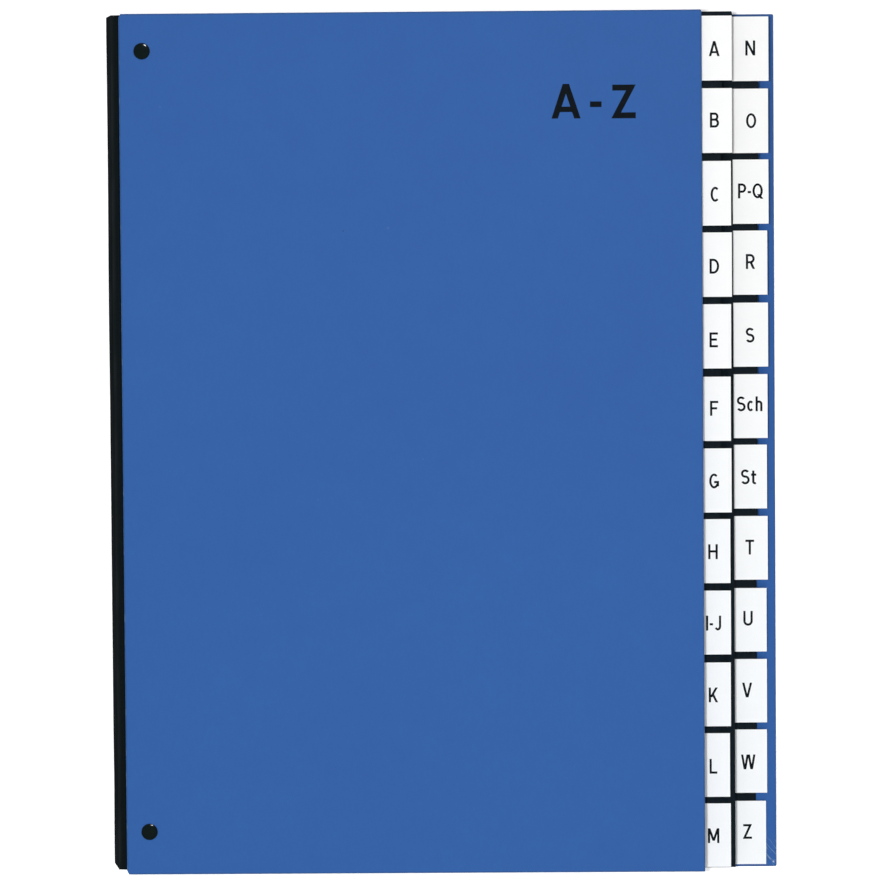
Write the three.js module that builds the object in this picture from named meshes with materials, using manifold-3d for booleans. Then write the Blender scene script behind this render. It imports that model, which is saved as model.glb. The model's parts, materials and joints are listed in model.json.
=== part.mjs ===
// Alphabetical desk sorter, lying flat on its back cover.
// Millimetres. X runs from the pleated spine to the tabs, Y from the foot to the head, Z up.
// The origin is the centre of the whole sorter's footprint, on the desk.

import * as THREE from 'three';
import { mergeVertices } from 'three/addons/utils/BufferGeometryUtils.js';
import Module from 'manifold-3d';

const wasm = await Module();
wasm.setup();

// Covers
const COVER_HEIGHT = 340;
const FRONT_COVER_WIDTH = 229;
const BACK_COVER_MARGIN = 0.9;
const BOARD_THICKNESS = 2.2;
const BOARD_EDGE_ROUNDING = 0.3;
const SPINE_CORNER_CUT_X = 1.5;
const SPINE_CORNER_CUT_Y = 2.2;
const FORE_CORNER_RADIUS = 0.6;
const BACK_COVER_DROP = 1;

// Dividers: one card for each index letter, stepped in two columns of tabs
const INDEX = [
  'a', 'b', 'c', 'd', 'e', 'f', 'g', 'h', 'i_j', 'k', 'l', 'm',
  'n', 'o', 'p_q', 'r', 's', 'sch', 'st', 't', 'u', 'v', 'w', 'z',
];
const ROWS = 12;
const CARD_THICKNESS = 0.4;
const CARD_PITCH = 0.745;
const CARD_TOP_MARGIN = 0.7;
const CARD_BOTTOM_MARGIN = 0.1;
const CARD_SPINE_MARGIN = 0.8;
const TAB_GAP = 3;
const TAB_DEPTH = 4;
const FIRST_TAB_TOP_MARGIN = 2.4;
const TAB_SHOWING = 12;
const COLUMN_STEP = 16.5;
const STEP_FILLET = 1.2;

// The stack leans towards the spine as it goes down, and its cards are not quite in line:
// the tabs in the middle of the outer column stand highest
const LEAN_PER_CARD = 0.135;
const CARD_STRAY_X = 0.22;
const CARD_STRAY_Y = 0.2;
const OUTER_COLUMN_RISE = 0.7;

// Labels glued on the tabs
const LABEL_THICKNESS = 0.12;
const LABEL_WIDTH = 14.3;

// Pleated spine: one strip of cloth, folded between the covers, with a card glued in each pleat
const CLOTH_THICKNESS = 0.1;
const CLOTH_TOP_MARGIN = 0.4;
const CLOTH_BOTTOM_MARGIN = 1.7;
const PLEAT_REACH = 2.1;
const PLEAT_INNER_FOLD = 6.4;
const PLEAT_NOSE_START = 0.4;
const PLEAT_BACK_GAP = 0.05;
const FLANGE_WIDTH = 18;

// Rivets
const RIVET_FROM_SPINE = 9.1;
const RIVET_FROM_HEAD = 14.7;
const RIVET_FROM_FOOT = 17;
const RIVET_HEAD_RADIUS = 3.25;
const RIVET_HEAD_HEIGHT = 1.1;
const RIVET_SHANK_RADIUS = 1.4;
const RIVET_CLINCH_RADIUS = 2.3;
const RIVET_CLINCH_HEIGHT = 0.5;
const RIVET_BORE_RADIUS = 0.8;
const RIVET_BORE_DEPTH = 1.6;

// Clearances
const RIVET_HOLE_CLEARANCE = 0.2;
const RIVET_SEAT_CLEARANCE = 0.2;
const CLINCH_CLEARANCE = 0.35;
const CUT_OVERRUN = 1;

// Curves
const ROUND_SIDES = 24;
const DOME_STEPS = 6;
const FILLET_STEPS = 4;
const CORNER_STEPS = 4;
const EDGE_STEPS = 3;

// Heights, from the desk up
const BACK_COVER_TOP = BOARD_THICKNESS;
const LAST_CARD_BOTTOM = BACK_COVER_TOP + CLOTH_THICKNESS + RIVET_CLINCH_HEIGHT + CLINCH_CLEARANCE;
const FIRST_CARD_BOTTOM = LAST_CARD_BOTTOM + (INDEX.length - 1) * CARD_PITCH;
const FRONT_COVER_BOTTOM = FIRST_CARD_BOTTOM + CARD_THICKNESS + CLINCH_CLEARANCE
  + RIVET_CLINCH_HEIGHT + CLOTH_THICKNESS;
const FRONT_COVER_TOP = FRONT_COVER_BOTTOM + BOARD_THICKNESS;

// Places along X are measured from the front cover's spine edge, along Y from the covers' middle
const lean = (level) => -LEAN_PER_CARD * level;
const INNER_COLUMN_EDGE = FRONT_COVER_WIDTH + TAB_SHOWING;
const OUTER_COLUMN_EDGE = INNER_COLUMN_EDGE + COLUMN_STEP;
const BACK_COVER_LEFT = lean(INDEX.length);
const BACK_COVER_WIDTH = OUTER_COLUMN_EDGE + BACK_COVER_MARGIN - BACK_COVER_LEFT;
const HEAD = COVER_HEIGHT / 2;
const CARD_HEAD = HEAD - CARD_TOP_MARGIN;
const CARD_FOOT = -HEAD + CARD_BOTTOM_MARGIN;
const TAB_PITCH = (HEAD - FIRST_TAB_TOP_MARGIN - CARD_FOOT + TAB_GAP) / ROWS;
const TAB_HEIGHT = TAB_PITCH - TAB_GAP;

const cardBottom = (index) => FIRST_CARD_BOTTOM - index * CARD_PITCH;
const isOuterColumn = (index) => index >= ROWS;
const tabTop = (index) => HEAD - FIRST_TAB_TOP_MARGIN - (index % ROWS) * TAB_PITCH;
const tabEdge = (index) => (isOuterColumn(index) ? OUTER_COLUMN_EDGE : INNER_COLUMN_EDGE);
const rowShare = (index) => (index % ROWS) / (ROWS - 1);
const rise = (index) => (isOuterColumn(index) ? OUTER_COLUMN_RISE * Math.sin(Math.PI * rowShare(index)) : 0);
const strayX = (index) => (index % ROWS === 0 ? 0 : CARD_STRAY_X * Math.sin(2.4 * index));
const strayY = (index) => (index % ROWS === 0 ? 0 : CARD_STRAY_Y * Math.cos(1.7 * index) + rise(index));

const MATERIALS = {
  cover: new THREE.MeshStandardMaterial({ color: 0x3a64a8, roughness: 0.55, metalness: 0 }),
  card: new THREE.MeshStandardMaterial({ color: 0x15191c, roughness: 0.8, metalness: 0 }),
  label: new THREE.MeshStandardMaterial({ color: 0xf7f8fa, roughness: 0.7, metalness: 0 }),
  cloth: new THREE.MeshStandardMaterial({ color: 0x101416, roughness: 0.75, metalness: 0 }),
  rivet: new THREE.MeshStandardMaterial({ color: 0x14181a, roughness: 0.35, metalness: 0.6 }),
};

const GRID = 1e4;

// Positions on a fixed fine grid, so that faces that lie on each other lie exactly on each other
function onGrid(geometry) {
  const position = geometry.attributes.position;
  for (let i = 0; i < position.array.length; i += 1) {
    position.array[i] = Math.round(position.array[i] * GRID) / GRID;
  }
  return geometry;
}

function closed(geometry) {
  const bare = geometry.clone();
  bare.deleteAttribute('normal');
  bare.deleteAttribute('uv');
  return mergeVertices(onGrid(bare), 1e-5);
}

function toSolid(geometry) {
  const merged = closed(geometry);
  return new wasm.Manifold(new wasm.Mesh({
    numProp: 3,
    vertProperties: new Float32Array(merged.attributes.position.array),
    triVerts: new Uint32Array(merged.index.array),
  }));
}

function toGeometry(solid) {
  const mesh = solid.getMesh();
  const geometry = new THREE.BufferGeometry();
  geometry.setAttribute('position', new THREE.BufferAttribute(mesh.vertProperties, 3));
  geometry.setIndex(new THREE.BufferAttribute(mesh.triVerts, 1));
  geometry.computeVertexNormals();
  return onGrid(geometry);
}

function piece(name, geometry, material) {
  const mesh = new THREE.Mesh(geometry, MATERIALS[material]);
  mesh.name = name;
  return mesh;
}

function plate(points, bottom, thickness) {
  const shape = new THREE.Shape(points.map(([x, y]) => new THREE.Vector2(x, y)));
  const geometry = new THREE.ExtrudeGeometry(shape, { depth: thickness, bevelEnabled: false });
  return geometry.translate(0, 0, bottom);
}

function postAt([x, y], radius, bottom, top) {
  const post = new THREE.CylinderGeometry(radius, radius, top - bottom, ROUND_SIDES);
  post.rotateX(Math.PI / 2);
  return post.translate(x, y, (bottom + top) / 2);
}

function rivetPlaces(left, drop) {
  const x = left + RIVET_FROM_SPINE;
  return { top: [x, HEAD - drop - RIVET_FROM_HEAD], bottom: [x, -HEAD - drop + RIVET_FROM_FOOT] };
}

const FRONT_RIVETS = rivetPlaces(0, 0);
const BACK_RIVETS = rivetPlaces(BACK_COVER_LEFT, BACK_COVER_DROP);

// A board with softened edges, its two spine corners cut off and its two fore corners rounded
function board(left, width, drop, bottom) {
  const r = BOARD_EDGE_ROUNDING;
  const x0 = left + r;
  const x1 = left + width - r;
  const y0 = -HEAD - drop + r;
  const y1 = HEAD - drop - r;
  const shape = new THREE.Shape();
  const round = FORE_CORNER_RADIUS;
  shape.moveTo(x0 + SPINE_CORNER_CUT_X, y0);
  shape.absarc(x1 - round, y0 + round, round, -Math.PI / 2, 0);
  shape.absarc(x1 - round, y1 - round, round, 0, Math.PI / 2);
  shape.lineTo(x0 + SPINE_CORNER_CUT_X, y1);
  shape.lineTo(x0, y1 - SPINE_CORNER_CUT_Y);
  shape.lineTo(x0, y0 + SPINE_CORNER_CUT_Y);
  shape.closePath();
  const geometry = new THREE.ExtrudeGeometry(shape, {
    depth: BOARD_THICKNESS - 2 * r,
    bevelEnabled: true,
    bevelThickness: r,
    bevelSize: r,
    bevelSegments: EDGE_STEPS,
    curveSegments: CORNER_STEPS,
  });
  return geometry.translate(0, 0, bottom + r);
}

function frontCover() {
  let solid = toSolid(board(0, FRONT_COVER_WIDTH, 0, FRONT_COVER_BOTTOM));
  const holeRadius = RIVET_SHANK_RADIUS + RIVET_HOLE_CLEARANCE;
  for (const place of Object.values(FRONT_RIVETS)) {
    const hole = postAt(place, holeRadius, FRONT_COVER_BOTTOM - CUT_OVERRUN, FRONT_COVER_TOP + CUT_OVERRUN);
    solid = solid.subtract(toSolid(hole));
  }
  return piece('front_cover', toGeometry(solid), 'cover');
}

// The back cover's rivet heads are pressed into seats, so that it lies flat on the desk
function backCover() {
  let solid = toSolid(board(BACK_COVER_LEFT, BACK_COVER_WIDTH, BACK_COVER_DROP, 0));
  const holeRadius = RIVET_SHANK_RADIUS + RIVET_HOLE_CLEARANCE;
  const seatRadius = RIVET_HEAD_RADIUS + RIVET_SEAT_CLEARANCE;
  for (const place of Object.values(BACK_RIVETS)) {
    const hole = postAt(place, holeRadius, -CUT_OVERRUN, BACK_COVER_TOP + CUT_OVERRUN);
    const seat = postAt(place, seatRadius, -CUT_OVERRUN, RIVET_HEAD_HEIGHT);
    solid = solid.subtract(toSolid(hole)).subtract(toSolid(seat));
  }
  return piece('back_cover', toGeometry(solid), 'cover');
}

// A divider's outline: a full card down to the foot of its tab, cut back below it
function tabBounds(index) {
  const edge = tabEdge(index) + lean(index) + strayX(index);
  const top = tabTop(index) + strayY(index);
  const isLastRow = index % ROWS === ROWS - 1;
  return {
    inner: edge - LABEL_WIDTH,
    shoulder: edge - TAB_DEPTH,
    edge,
    top,
    foot: isLastRow ? CARD_FOOT : top - TAB_HEIGHT,
    isLastRow,
  };
}

// The rounded step from the tab's foot to the cut-back edge below it
function stepFillet({ inner, foot }) {
  const points = [];
  for (let step = 0; step <= FILLET_STEPS; step += 1) {
    const angle = Math.PI - (step / FILLET_STEPS) * (Math.PI / 2);
    points.push([
      inner + STEP_FILLET + STEP_FILLET * Math.cos(angle),
      foot - STEP_FILLET + STEP_FILLET * Math.sin(angle),
    ]);
  }
  return points;
}

function cardHeadPoints(index, { inner, shoulder, edge, top }) {
  const isFirstRow = index % ROWS === 0;
  if (!isOuterColumn(index)) {
    return isFirstRow ? [[edge, CARD_HEAD]] : [[edge, top], [shoulder, top], [shoulder, CARD_HEAD]];
  }
  const tabsHead = tabTop(0);
  const shoulderPoints = isFirstRow ? [] : [[shoulder, top], [shoulder, tabsHead]];
  return [[edge, top], ...shoulderPoints, [inner, isFirstRow ? top : tabsHead], [inner, CARD_HEAD]];
}

function cardOutline(index) {
  const left = lean(index) + CARD_SPINE_MARGIN;
  const tab = tabBounds(index);
  const below = tab.isLastRow ? [] : [[tab.inner, CARD_FOOT], ...stepFillet(tab)];
  return [
    [left, CARD_FOOT],
    ...below,
    [tab.edge, tab.foot],
    ...cardHeadPoints(index, tab),
    [left, CARD_HEAD],
  ];
}

function labelOutline(index) {
  const tab = tabBounds(index);
  const step = tab.isLastRow ? [[tab.inner, tab.foot]] : stepFillet(tab);
  return [...step, [tab.edge, tab.foot], [tab.edge, tab.top], [tab.inner, tab.top]];
}

function divider(index) {
  const card = plate(cardOutline(index), cardBottom(index), CARD_THICKNESS);
  return piece(`divider_${INDEX[index]}`, closed(card), 'card');
}

function label(index) {
  const cardTop = cardBottom(index) + CARD_THICKNESS;
  const paper = plate(labelOutline(index), cardTop, LABEL_THICKNESS);
  return piece(`label_${INDEX[index]}`, closed(paper), 'label');
}

// One outward fold of the spine cloth, between two cards or between a card and a cover
function outwardFold(level) {
  const cloth = CLOTH_THICKNESS;
  const isFirst = level === 0;
  const isLast = level === INDEX.length;
  const layerAbove = cardBottom(level - 1) - 2 * cloth - PLEAT_BACK_GAP;
  const upper = isFirst ? FRONT_COVER_BOTTOM - cloth : layerAbove;
  const lower = isLast ? BACK_COVER_TOP + cloth : cardBottom(level);
  const tipX = lean(level) - PLEAT_REACH;
  const tipZ = (upper + lower) / 2;
  const noseX = lean(level) + PLEAT_NOSE_START;
  return {
    tip: [tipX, tipZ],
    outside: [
      [noseX, upper + cloth],
      [tipX + cloth, tipZ + cloth],
      [tipX, tipZ],
      [tipX + cloth, tipZ - cloth],
      [noseX, lower - cloth],
    ],
    inside: [[noseX, lower], [tipX + 3 * cloth, tipZ], [noseX, upper]],
  };
}

// One inward fold, on whose upper layer a card's margin is glued
function inwardFold(index) {
  const cloth = CLOTH_THICKNESS;
  const x = lean(index) + PLEAT_INNER_FOLD;
  const upper = cardBottom(index);
  const lower = upper - 2 * cloth - PLEAT_BACK_GAP;
  return {
    outside: [[x - cloth, upper - cloth], [x - cloth, lower + cloth]],
    inside: [[x, lower], [x + cloth, (upper + lower) / 2], [x, upper]],
  };
}

function pleatOutline() {
  const outside = [[FLANGE_WIDTH, FRONT_COVER_BOTTOM]];
  const inside = [[FLANGE_WIDTH, FRONT_COVER_BOTTOM - CLOTH_THICKNESS]];
  for (let level = 0; level <= INDEX.length; level += 1) {
    const ridge = outwardFold(level);
    outside.push(...ridge.outside);
    inside.unshift(...ridge.inside);
    if (level < INDEX.length) {
      const valley = inwardFold(level);
      outside.push(...valley.outside);
      inside.unshift(...valley.inside);
    }
  }
  const flangeEnd = BACK_COVER_LEFT + FLANGE_WIDTH;
  outside.push([flangeEnd, BACK_COVER_TOP]);
  inside.unshift([flangeEnd, BACK_COVER_TOP + CLOTH_THICKNESS]);
  return [...outside, ...inside];
}

function spineGusset() {
  const clothTop = HEAD - CLOTH_TOP_MARGIN;
  const clothLength = COVER_HEIGHT - CLOTH_TOP_MARGIN - CLOTH_BOTTOM_MARGIN;
  const strip = plate(pleatOutline(), 0, clothLength);
  strip.rotateX(Math.PI / 2);
  strip.translate(0, clothTop, 0);
  const holeRadius = RIVET_SHANK_RADIUS + RIVET_HOLE_CLEARANCE;
  const reach = 2 * CLOTH_THICKNESS;
  let solid = toSolid(strip);
  for (const place of Object.values(FRONT_RIVETS)) {
    const hole = postAt(place, holeRadius, FRONT_COVER_BOTTOM - reach, FRONT_COVER_BOTTOM + reach);
    solid = solid.subtract(toSolid(hole));
  }
  for (const place of Object.values(BACK_RIVETS)) {
    const hole = postAt(place, holeRadius, BACK_COVER_TOP - reach, BACK_COVER_TOP + reach);
    solid = solid.subtract(toSolid(hole));
  }
  return piece('spine_gusset', toGeometry(solid), 'cloth');
}

// A rivet with a low domed head and a clinched, hollow end; its grip is what it holds together
function rivetProfile(grip) {
  const end = -grip - RIVET_CLINCH_HEIGHT;
  const boreTop = end + RIVET_BORE_DEPTH;
  const lip = RIVET_CLINCH_HEIGHT / 2;
  const rim = RIVET_HEAD_HEIGHT / 6;
  const points = [
    [0, boreTop],
    [RIVET_BORE_RADIUS, boreTop],
    [RIVET_BORE_RADIUS, end],
    [RIVET_CLINCH_RADIUS - lip, end],
    [RIVET_CLINCH_RADIUS, end + lip],
    [RIVET_CLINCH_RADIUS, -grip],
    [RIVET_SHANK_RADIUS, -grip],
    [RIVET_SHANK_RADIUS, 0],
    [RIVET_HEAD_RADIUS, 0],
  ];
  for (let step = 0; step < DOME_STEPS; step += 1) {
    const angle = (step / DOME_STEPS) * (Math.PI / 2);
    points.push([
      RIVET_HEAD_RADIUS * Math.cos(angle),
      rim + (RIVET_HEAD_HEIGHT - rim) * Math.sin(angle),
    ]);
  }
  points.push([0, RIVET_HEAD_HEIGHT]);
  return points.map(([r, h]) => new THREE.Vector2(r, h));
}

function rivet(name, [x, y], underHead, grip, headUp) {
  const geometry = new THREE.LatheGeometry(rivetProfile(grip), ROUND_SIDES);
  geometry.rotateX(headUp ? Math.PI / 2 : -Math.PI / 2);
  geometry.translate(x, y, underHead);
  return piece(name, closed(geometry), 'rivet');
}

function rivets() {
  const frontGrip = BOARD_THICKNESS + CLOTH_THICKNESS;
  const backGrip = frontGrip - RIVET_HEAD_HEIGHT;
  return [
    rivet('front_rivet_top', FRONT_RIVETS.top, FRONT_COVER_TOP, frontGrip, true),
    rivet('front_rivet_bottom', FRONT_RIVETS.bottom, FRONT_COVER_TOP, frontGrip, true),
    rivet('back_rivet_top', BACK_RIVETS.top, RIVET_HEAD_HEIGHT, backGrip, false),
    rivet('back_rivet_bottom', BACK_RIVETS.bottom, RIVET_HEAD_HEIGHT, backGrip, false),
  ];
}

const sorter = new THREE.Group();
sorter.add(frontCover(), backCover(), spineGusset(), ...rivets());
for (let index = 0; index < INDEX.length; index += 1) {
  sorter.add(divider(index), label(index));
}

// The footprint's middle goes to the origin
const footprintLeft = outwardFold(INDEX.length).tip[0];
const footprintRight = BACK_COVER_LEFT + BACK_COVER_WIDTH;
sorter.position.set(-(footprintLeft + footprintRight) / 2, BACK_COVER_DROP / 2, 0);

export default sorter;
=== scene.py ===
"""Looks of the alphabetical desk sorter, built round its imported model.

Metres, Z up, the sorter lying on its back cover with its spine at low X and its head at high Y.
"""

import json
import math
import random

import bmesh
import bpy
from mathutils import Euler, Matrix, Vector
from mathutils.geometry import delaunay_2d_cdt


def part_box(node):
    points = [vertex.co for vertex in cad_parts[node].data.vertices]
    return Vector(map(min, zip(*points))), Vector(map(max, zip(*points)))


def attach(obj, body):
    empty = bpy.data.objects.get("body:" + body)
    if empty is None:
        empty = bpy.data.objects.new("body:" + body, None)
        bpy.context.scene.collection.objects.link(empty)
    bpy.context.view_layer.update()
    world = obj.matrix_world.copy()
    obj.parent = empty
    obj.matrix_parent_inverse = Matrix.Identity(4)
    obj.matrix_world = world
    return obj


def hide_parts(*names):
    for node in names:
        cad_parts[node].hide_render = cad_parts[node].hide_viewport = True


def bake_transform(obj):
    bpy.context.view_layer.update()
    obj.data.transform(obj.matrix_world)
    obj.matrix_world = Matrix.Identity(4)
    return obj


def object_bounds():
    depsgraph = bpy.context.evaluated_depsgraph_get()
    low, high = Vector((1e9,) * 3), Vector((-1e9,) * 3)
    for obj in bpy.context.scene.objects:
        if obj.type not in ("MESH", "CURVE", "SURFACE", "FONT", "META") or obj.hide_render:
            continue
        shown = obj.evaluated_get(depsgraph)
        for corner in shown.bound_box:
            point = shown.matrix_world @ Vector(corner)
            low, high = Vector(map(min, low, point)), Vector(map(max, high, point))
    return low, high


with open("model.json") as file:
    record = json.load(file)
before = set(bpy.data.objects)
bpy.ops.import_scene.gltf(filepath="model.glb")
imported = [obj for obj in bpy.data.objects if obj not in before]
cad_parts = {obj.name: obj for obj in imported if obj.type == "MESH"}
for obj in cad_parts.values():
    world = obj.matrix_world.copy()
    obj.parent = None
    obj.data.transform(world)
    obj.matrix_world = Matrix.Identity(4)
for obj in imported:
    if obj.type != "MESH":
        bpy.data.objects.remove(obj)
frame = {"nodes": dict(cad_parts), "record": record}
CAD_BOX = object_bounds()

MM = 0.001
SEED = 24

# Camera: where the photograph was taken from, and its square frame
PHOTO_SIZE = 888
CAMERA_PLACE = Vector((0.02584, 0.0809, 1.798))
CAMERA_TURN = Euler([math.radians(a) for a in (-2.594, 0.824, -0.38)], "ZYX")
CAMERA_LENS = 182.67
CAMERA_SENSOR = 36

# Light
WORLD_LIGHT = 0.33
KEY_PLACE = (-0.15, 0.1, 1.9)
KEY_SIZE = 0.1
KEY_POWER = 21
FILL_PLACE = (0.3, -0.6, 2.0)
FILL_SIZE = 1.4
FILL_POWER = 13
GLINT_PLACE = (0.35, 1.3, 1.35)
GLINT_SIZE = 0.35
GLINT_POWER = 22

# Floor
FLOOR_REACH = 4.0
FLOOR_DROP = 0.05 * MM
FLOOR_GLOW = 0.3

# Colours, linear
BLUE = (0.0276, 0.1025, 0.332)
# The next colour is a painted shade for the boards' rounded rims
BLUE_PAINTED_RIM_SHADE = (0.018, 0.068, 0.19)
BLUE_CORE = (0.052, 0.115, 0.245)
BLUE_WORN = (0.19, 0.28, 0.42)
BLUE_CHIPPED = (0.42, 0.52, 0.64)
BLACK_CARD = (0.0043, 0.0092, 0.0133)
CARD_FIBRE = (0.06, 0.064, 0.066)
LABEL_WHITE = (0.872, 0.878, 0.873)
# The next colour is painted shade for the labels towards the sorter's foot
LABEL_PAINTED_SHADE = (0.845, 0.87, 0.893)
CLOTH_BLACK = (0.0038, 0.0065, 0.0073)
CLOTH_WORN = (0.0145, 0.0175, 0.0195)
LACQUER = (0.0055, 0.0098, 0.0098)
INK = (0.003, 0.0058, 0.0085)
FLOOR_WHITE = (0.93, 0.93, 0.93)
MARK_INK = (0.012, 0.02, 0.05)
MARK_PLUM = (0.07, 0.05, 0.25)
MARK_VIOLET = (0.09, 0.06, 0.32)
MARK_PURPLE = (0.06, 0.05, 0.22)
MARK_PALE = (0.10, 0.20, 0.46)
MARK_PALE_DULL = (0.09, 0.19, 0.45)

# Rivets
RIVET_HEAD_RADIUS = 3.25 * MM
RIVET_HEAD_HEIGHT = 1.1 * MM
RIVET_SHANK_RADIUS = 1.4 * MM
RIVET_CLINCH_RADIUS = 2.3 * MM
RIVET_CLINCH_HEIGHT = 0.5 * MM
RIVET_CLINCH_ROOT = 0.45 * MM
RIVET_BORE_RADIUS = 0.8 * MM
RIVET_BORE_DEPTH = 1.6 * MM
RIVET_BORE_LIP = 0.1 * MM
RIM_ROUNDING = 0.12 * MM
RIVET_SIDES = 56
DOME_STEPS = 14
CLINCH_STEPS = 6
RIVET_SHARP_ANGLE = 35
MERGE_DISTANCE = 1e-7

# Boards of the covers
BOARD_ROUNDING = 0.3 * MM
SPINE_CORNER_CUT = (0.8 * MM, 1.6 * MM)
FORE_CORNER_RADIUS = 0.6 * MM
CORNER_STEPS = 6
EDGE_STEPS = 3
RIVET_HOLE_RADIUS = 1.6 * MM
RIVET_SEAT_RADIUS = 3.45 * MM
RIVET_SEAT_DEPTH = RIVET_HEAD_HEIGHT
HOLE_SIDES = 32
CUT_OVERRUN = 1.0 * MM

# Painted shade along the rims, wear and lining of the boards: each pair is where a change starts and
# ends
PAINTED_RIM_SHADE = (0.3 * MM, 0.75 * MM)
RUBBED_RIM = (0.35 * MM, 0.75 * MM)
RIM_UNEVENNESS = 0.5 * MM
LINING_EDGE = (6.0 * MM, 6.35 * MM)
LINING_THICKNESS = 0.12 * MM
MARK_UNEVENNESS = 0.25 * MM

# Scuffed corner, its two places by the photograph's pixels
SCUFF_PIXEL = (769, 853)
SCUFF_REACH = (3.0 * MM, 9.0 * MM)
SCRATCH_TURN = math.radians(52)
SCRATCH_STRETCH = (230, 2300, 1)
NICK_PIXEL = (774.5, 862)
NICK_REACH = (0.3 * MM, 1.2 * MM)

# Spine cloth
CLOTH_THICKNESS = 0.1 * MM
CLOTH_TOP_MARGIN = 0.4 * MM
CLOTH_FOOT_MARGIN = 1.7 * MM
CARD_SPINE_MARGIN = 0.8 * MM
PLEAT_REACH = 3.4 * MM
PLEAT_INNER_FOLD = 6.4 * MM
PLEAT_NOSE_START = 0.4 * MM
PLEAT_BACK_GAP = 0.05 * MM
FLANGE_WIDTH = 18 * MM
RIDGE_POWER = 1.3
RIDGE_STEPS = 8
VALLEY_STEPS = 4
CLOTH_ROWS = 90
RIDGE_WANDER = 0.16 * MM
WANDER_ROWS = 15
WEAVE_SCALE = 430
CLOTH_SHARP_ANGLE = 60

# Lettering
INK_THICKNESS = 0.02 * MM
TAB_CAP_HEIGHT = 5.9 * MM
TAB_STROKE = 0.148
TAB_SPACING = 0.10
COVER_STROKE = 0.175
LOWER_CASE = 0.72
BOW_STEPS = 20
JOIN_TOLERANCE = 1e-5

# Labels
TAB_HEIGHT = 25.375 * MM
LABEL_END_SOFTNESS = 0.03 * MM


def on_plane(px, py, z):
    """The point at height z that the photograph shows at that pixel."""
    half = CAMERA_SENSOR / CAMERA_LENS / 2
    ray = Vector(((2 * px / PHOTO_SIZE - 1) * half, (1 - 2 * py / PHOTO_SIZE) * half, -1))
    ray.rotate(CAMERA_TURN)
    return CAMERA_PLACE + ray * ((z - CAMERA_PLACE.z) / ray.z)


def make_camera():
    data = bpy.data.cameras.new("camera")
    data.lens = CAMERA_LENS
    data.sensor_width = CAMERA_SENSOR
    camera = bpy.data.objects.new("camera", data)
    camera.location = CAMERA_PLACE
    camera.rotation_euler = CAMERA_TURN.to_matrix().to_euler("XYZ")
    bpy.context.scene.collection.objects.link(camera)
    bpy.context.scene.camera = camera


def softbox(name, place, size, power, glossy=False):
    """A square lamp aimed at the origin, which either lights surfaces or only glints on them."""
    data = bpy.data.lights.new(name, "AREA")
    data.shape = "SQUARE"
    data.size = size
    data.energy = power
    light = bpy.data.objects.new(name, data)
    light.location = place
    light.visible_glossy = glossy
    light.visible_diffuse = not glossy
    light.rotation_euler = (-Vector(place)).to_track_quat("-Z", "Y").to_euler()
    bpy.context.scene.collection.objects.link(light)


def make_light():
    world = bpy.data.worlds.new("soft_white")
    world.use_nodes = True
    background = world.node_tree.nodes["Background"]
    background.inputs["Color"].default_value = (1, 1, 1, 1)
    background.inputs["Strength"].default_value = WORLD_LIGHT
    bpy.context.scene.world = world
    bpy.context.scene.view_settings.view_transform = "Standard"
    world.cycles_visibility.glossy = False
    softbox("key", KEY_PLACE, KEY_SIZE, KEY_POWER)
    softbox("fill", FILL_PLACE, FILL_SIZE, FILL_POWER)
    softbox("glint", GLINT_PLACE, GLINT_SIZE, GLINT_POWER, glossy=True)


def with_alpha(value):
    """A colour as Blender's four numbers; a node's socket stays as it is."""
    return (*value, 1) if isinstance(value, tuple) else value


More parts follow.
